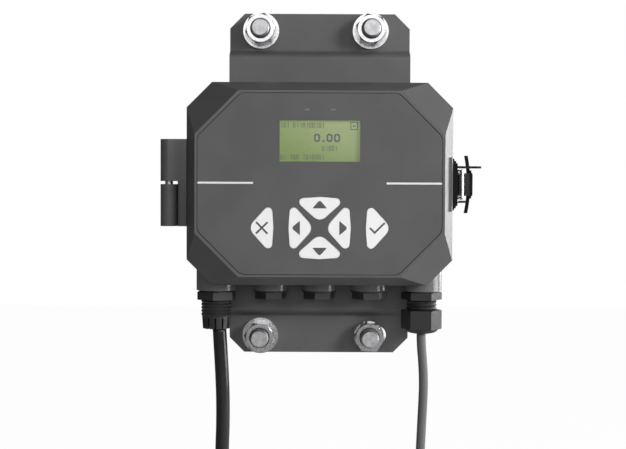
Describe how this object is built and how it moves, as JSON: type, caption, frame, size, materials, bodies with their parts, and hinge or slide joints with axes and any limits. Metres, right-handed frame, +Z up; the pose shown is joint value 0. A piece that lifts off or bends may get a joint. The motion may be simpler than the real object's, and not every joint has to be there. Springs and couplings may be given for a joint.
{
  "type": "ultrasonic flow meter",
  "caption": "Ultrasonic flow meter transmitter: eight-sided die-cast box with hinged, latched keypad cover and cable glands, on a stepped pole plate with U-bolts.",
  "frame": {"origin": "on the axis of the pole that the part is clamped to, at the middle height of its mounting plate", "axes": "+Z up along the pole, the display faces -Y, +X to the right as seen from the front"},
  "size_m": [0.2381, 0.1432, 0.4873],
  "materials": {
    "plate_paint": "smooth grey powder coat",
    "zinc": "bright zinc plate",
    "case_paint": "satin grey powder coat on die-cast metal",
    "housing_paint": "dark satin powder coat on die-cast metal",
    "black_plastic": "black moulded nylon",
    "black_rubber": "black sealing rubber",
    "board": "green circuit board",
    "power_case": "yellow moulded case",
    "capacitor_sleeve": "blue printed sleeve",
    "terminal_plastic": "green moulded terminal block",
    "core_white": "white wire insulation",
    "core_brown": "brown wire insulation",
    "black_cable": "black cable sheath",
    "grey_cable": "grey cable sheath",
    "plug_metal": "nickel plate",
    "latch_black": "black coated steel",
    "latch_bright": "bright steel",
    "panel_film": "matt printed film",
    "window": "clear window",
    "display": "green liquid crystal display",
    "key_rubber": "white key with a dark printed sign",
    "mat_rubber": "pale silicone rubber"
  },
  "bodies": {
    "base": {"mounting_plate": "plate_paint", "ubolt_upper": "zinc", "ubolt_lower": "zinc", "ubolt_nuts": "zinc", "ubolt_washers": "zinc", "ubolt_lock_washers": "zinc", "housing": "housing_paint", "plate_screws": "zinc", "entry_seals": "black_rubber", "entry_plugs": "black_plastic", "gland_body_left": "black_plastic", "gland_seal_left": "black_rubber", "gland_body_right": "black_plastic", "gland_seal_right": "black_rubber", "gland_nut_right": "black_plastic", "main_board": "board", "board_screws": "zinc", "power_module": "power_case", "capacitors": "capacitor_sleeve", "board_chips": "black_plastic", "terminal_blocks": "terminal_plastic", "cores_black": "core_white", "cores_grey": "core_brown", "lead_in_black": "black_cable", "lead_in_grey": "grey_cable", "cable_black": "black_cable", "coil_black": "black_cable", "ties_black": "black_plastic", "transducer_plug": "plug_metal", "cable_grey": "grey_cable", "coil_grey": "grey_cable", "ties_grey": "black_plastic", "core_ends_grey": "core_brown", "hinge_fixed_leaf": "case_paint", "hinge_pin": "zinc", "hinge_screws_fixed": "zinc", "latch_base": "latch_black", "latch_rivets": "latch_bright", "latch_pin": "latch_bright"},
    "cover": {"cover": "case_paint", "cover_gasket": "black_rubber", "front_panel": "panel_film", "display_window": "window", "display_module": "display", "display_board": "board", "display_screws": "zinc", "key_mat": "mat_rubber", "light_pipes": "window", "hinge_moving_leaf": "case_paint", "hinge_screws_moving": "zinc", "latch_keeper": "latch_black", "keeper_rivets": "latch_bright"},
    "key_up": {"key_up": "key_rubber"},
    "key_down": {"key_down": "key_rubber"},
    "key_left": {"key_left": "key_rubber"},
    "key_right": {"key_right": "key_rubber"},
    "key_cancel": {"key_cancel": "key_rubber"},
    "key_enter": {"key_enter": "key_rubber"},
    "latch_lever": {"latch_lever": "latch_black"},
    "latch_bail": {"latch_bail": "latch_bright"}
  },
  "joints": [
    {"name": "cover_hinge", "type": "hinge", "parent": "base", "child": "cover", "pos_m": [-0.0928, -0.08, 0.0005], "axis": [0, 0, -1], "range_deg": [0, 150]},
    {"name": "lever_pivot", "type": "hinge", "parent": "base", "child": "latch_lever", "pos_m": [0.0897, -0.066, 0], "axis": [0, 0, -1], "range_deg": [0, 95]},
    {"name": "bail_pivot", "type": "hinge", "parent": "latch_lever", "child": "latch_bail", "pos_m": [0.0923, -0.058, 0], "axis": [0, 0, -1], "range_deg": [-95, 0]},
    {"name": "key_up_press", "type": "slide", "parent": "cover", "child": "key_up", "axis": [0, 1, 0], "range_m": [0, 0.0007], "stiffness_N_per_m": 600, "springref_m": -0.0005},
    {"name": "key_down_press", "type": "slide", "parent": "cover", "child": "key_down", "axis": [0, 1, 0], "range_m": [0, 0.0007], "stiffness_N_per_m": 600, "springref_m": -0.0005},
    {"name": "key_left_press", "type": "slide", "parent": "cover", "child": "key_left", "axis": [0, 1, 0], "range_m": [0, 0.0007], "stiffness_N_per_m": 600, "springref_m": -0.0005},
    {"name": "key_right_press", "type": "slide", "parent": "cover", "child": "key_right", "axis": [0, 1, 0], "range_m": [0, 0.0007], "stiffness_N_per_m": 600, "springref_m": -0.0005},
    {"name": "key_cancel_press", "type": "slide", "parent": "cover", "child": "key_cancel", "axis": [0, 1, 0], "range_m": [0, 0.0007], "stiffness_N_per_m": 600, "springref_m": -0.0005},
    {"name": "key_enter_press", "type": "slide", "parent": "cover", "child": "key_enter", "axis": [0, 1, 0], "range_m": [0, 0.0007], "stiffness_N_per_m": 600, "springref_m": -0.0005}
  ],
  "couplings": [
    {"joint": "bail_pivot", "follows": "lever_pivot", "ratio": -1}
  ]
}
